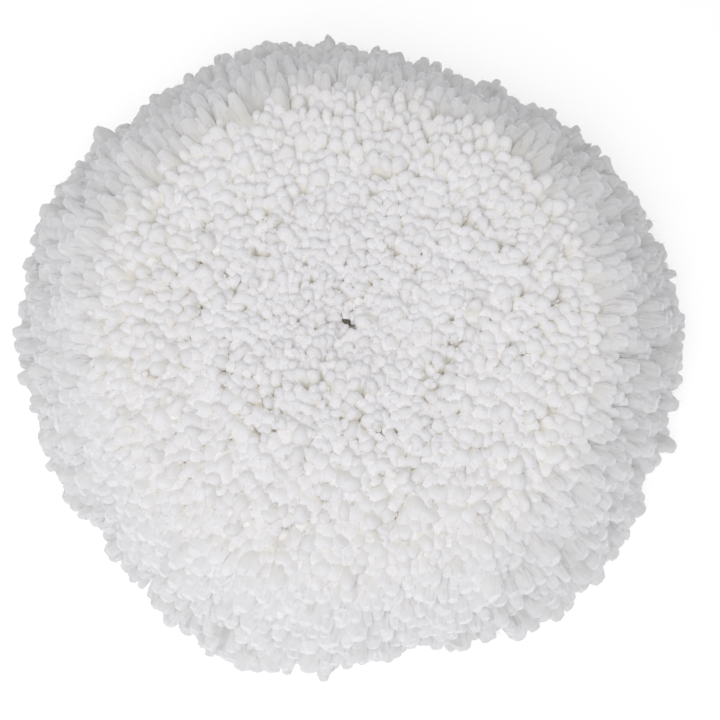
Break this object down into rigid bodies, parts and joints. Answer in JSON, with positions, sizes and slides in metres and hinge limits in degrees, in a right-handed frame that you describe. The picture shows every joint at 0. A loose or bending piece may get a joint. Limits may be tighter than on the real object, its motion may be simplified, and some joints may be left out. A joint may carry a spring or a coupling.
{
  "type": "wool polishing pad",
  "caption": "Round twisted-wool polishing pad with a deep rounded pile face, a foam-cushioned loop-fabric back and a centring hole.",
  "frame": {"origin": "centre of the loop-fabric back face, on the surface that the pad lies on", "axes": "+Z out of the wool face along the pad's spin axis; +X and +Y lie in the back face and are alike"},
  "size_m": [0.23, 0.23, 0.041],
  "materials": {
    "wool": "soft twisted wool pile, bloomed ends",
    "back_yarn": "twisted wool yarn, held in latex",
    "canvas": "matt cotton canvas",
    "latex": "cured latex, satin",
    "adhesive": "hot-melt film, satin",
    "foam": "open-cell foam, matt",
    "loop_fabric": "brushed loop knit, matt",
    "binding_tape": "woven twill tape, matt",
    "thread": "twisted sewing thread"
  },
  "bodies": {
    "root": {"loop_facing": "loop_fabric", "loop_bond_film": "adhesive", "foam_cushion": "foam", "canvas_bond_film": "adhesive", "latex_backcoat": "latex", "back_yarn_runs": "back_yarn", "canvas_backing": "canvas", "edge_binding": "binding_tape", "seam_stitches": "thread", "centre_stitches": "thread", "binding_stitches": "thread", "tuft_row_01": "wool", "tuft_row_02": "wool", "tuft_row_03": "wool", "tuft_row_04": "wool", "tuft_row_05": "wool", "tuft_row_06": "wool", "tuft_row_07": "wool", "tuft_row_08": "wool", "tuft_row_09": "wool", "tuft_row_10": "wool", "tuft_row_11": "wool", "tuft_row_12": "wool", "tuft_row_13": "wool", "tuft_row_14": "wool", "tuft_row_15": "wool", "tuft_row_16": "wool", "tuft_row_17": "wool", "tuft_row_18": "wool"}
  },
  "joints": []
}
